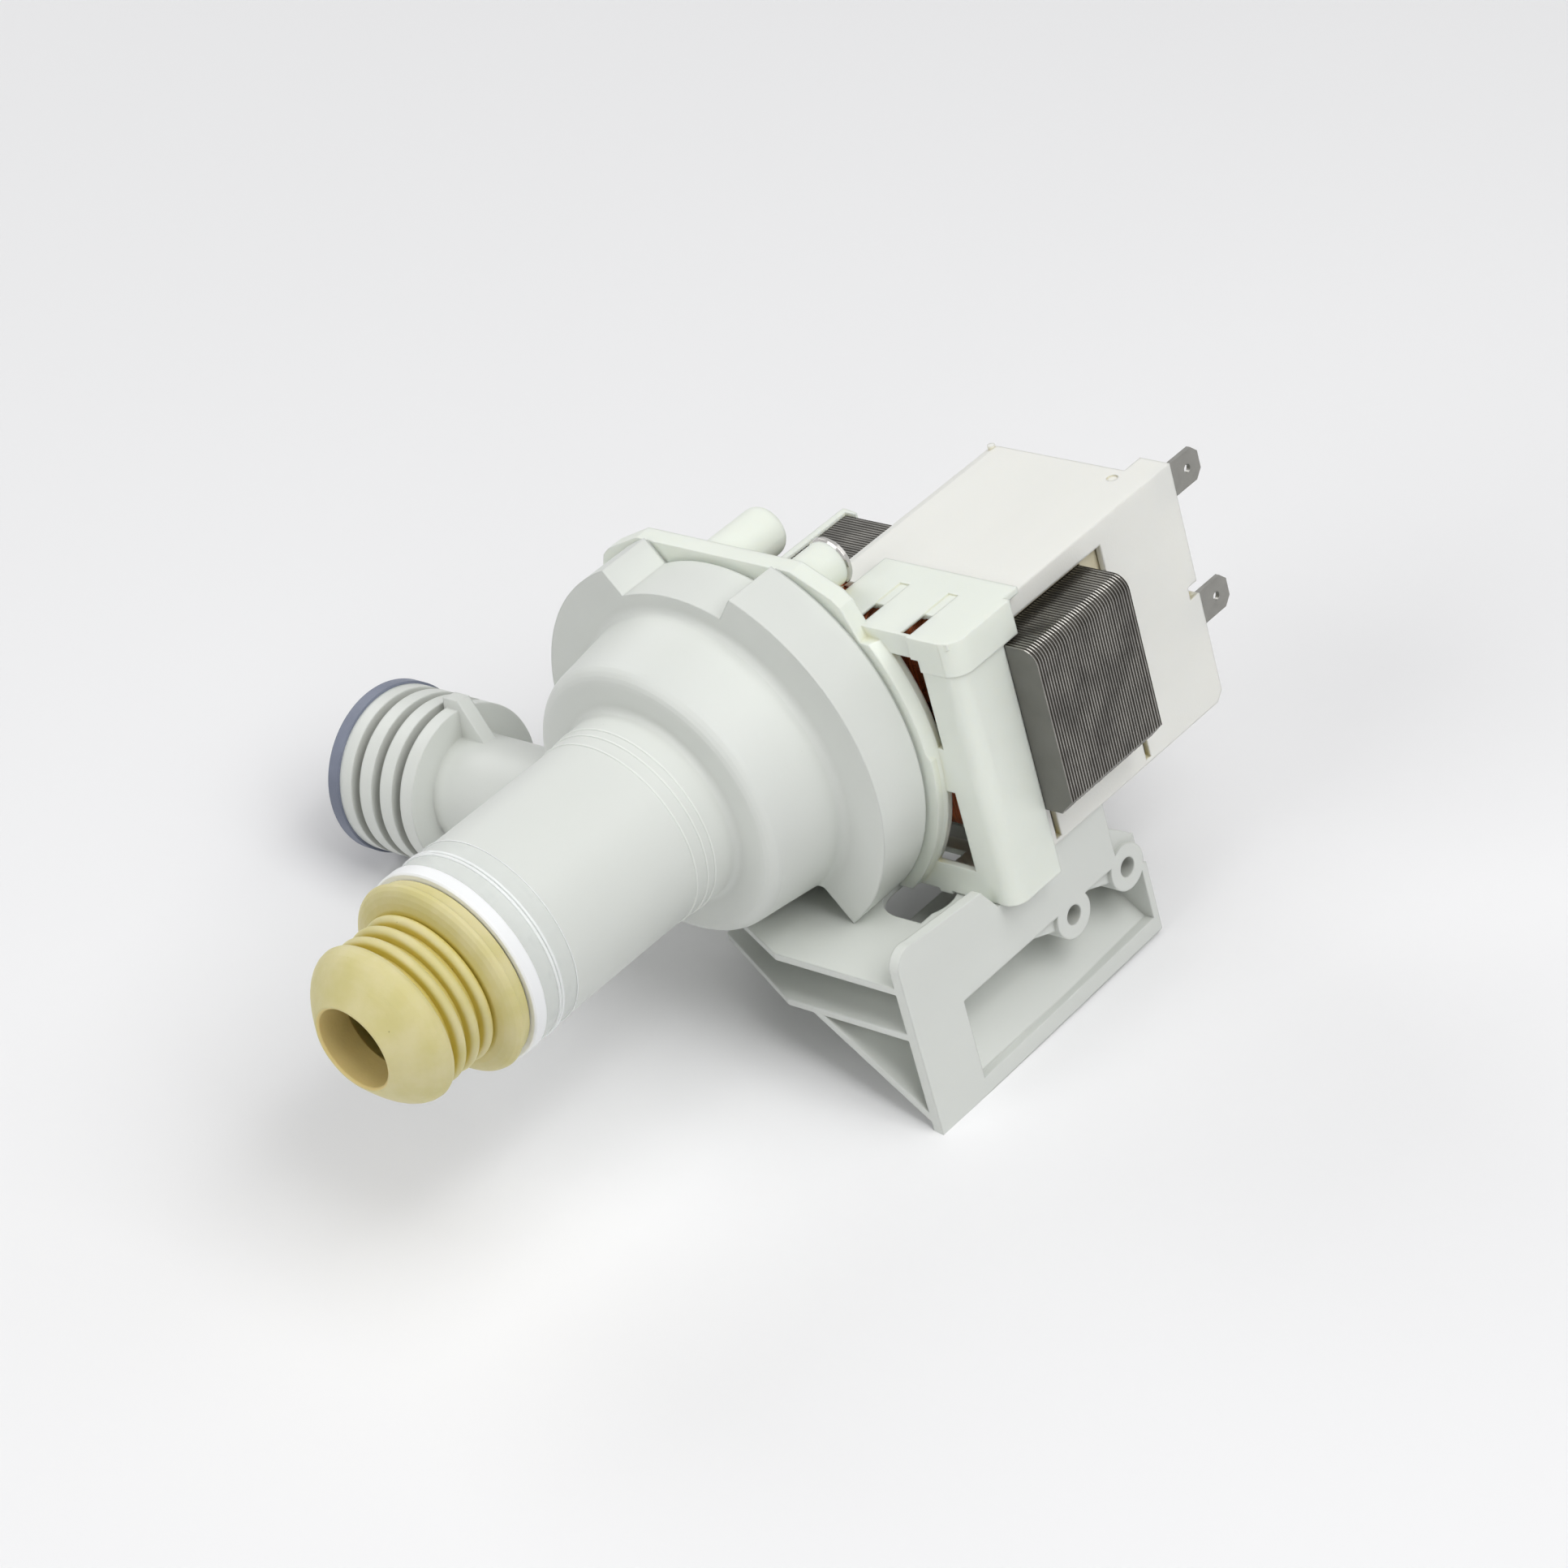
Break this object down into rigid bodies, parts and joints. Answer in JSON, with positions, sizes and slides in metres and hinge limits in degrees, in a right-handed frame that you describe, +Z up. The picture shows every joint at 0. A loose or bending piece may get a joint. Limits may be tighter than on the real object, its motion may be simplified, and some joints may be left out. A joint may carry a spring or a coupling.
{
  "type": "dishwasher drain pump",
  "caption": "Drain pump: volute housing with rubber inlet bellows, finned outlet spout and screw bracket, driven by a synchronous U-core motor with spade terminals.",
  "frame": {"origin": "centre of the inlet mouth, on the pump axis", "axes": "+X towards the bracket's side plate and the yoke, +Y along the pump axis from the inlet to the motor, +Z up, square to both"},
  "size_m": [0.1349, 0.1696, 0.0918],
  "materials": {
    "housing_grey": "satin moulded polypropylene",
    "bellows_rubber": "beige rubber",
    "ring_white": "smooth white",
    "film_clear": "clear film",
    "seal_blue_grey": "blue-grey rubber",
    "mount_plastic": "translucent greenish white",
    "cover_cream": "cream, semi-matt",
    "core_steel": "punched sheet edges, oiled",
    "ring_steel": "bright steel",
    "bobbin_ivory": "natural",
    "winding_copper": "enamelled copper wire",
    "terminal_tin": "tinned",
    "bearing_plastic": "moulded",
    "seat_rubber": "black rubber",
    "bush_carbon": "carbon bush, bare",
    "shaft_steel": "ground",
    "magnet_ferrite": "ferrite",
    "impeller_white": "moulded"
  },
  "bodies": {
    "pump_body": {"pump_housing": "housing_grey", "outlet_spout": "housing_grey", "mounting_bracket": "housing_grey", "inlet_bellows": "bellows_rubber", "mouth_ring": "ring_white", "film_band": "film_clear", "outlet_seal": "seal_blue_grey", "flange_gasket": "seal_blue_grey", "motor_mount": "mount_plastic", "post_ring": "ring_steel", "coil_cover": "cover_cream", "core_stack": "core_steel", "upper_bobbin": "bobbin_ivory", "lower_bobbin": "bobbin_ivory", "upper_winding": "winding_copper", "lower_winding": "winding_copper", "upper_terminal": "terminal_tin", "lower_terminal": "terminal_tin", "bearing_plate": "bearing_plastic", "front_seat": "seat_rubber", "front_bush": "bush_carbon", "rear_bush": "bush_carbon", "body_o_ring": "seat_rubber"},
    "rotor": {"thrust_washer": "bearing_plastic", "rotor_shaft": "shaft_steel", "ring_magnet": "magnet_ferrite", "magnet_carrier": "bearing_plastic", "drive_dog": "bearing_plastic"},
    "impeller": {"impeller": "impeller_white", "hub_cap": "impeller_white"}
  },
  "joints": [
    {"name": "rotor_spin", "type": "hinge", "parent": "pump_body", "child": "rotor", "pos_m": [0, 0.12, 0], "axis": [0, 1, 0], "continuous": true},
    {"name": "impeller_free_turn", "type": "hinge", "parent": "rotor", "child": "impeller", "pos_m": [0, 0.084, 0], "axis": [0, 1, 0], "range_deg": [-85, 85]}
  ]
}
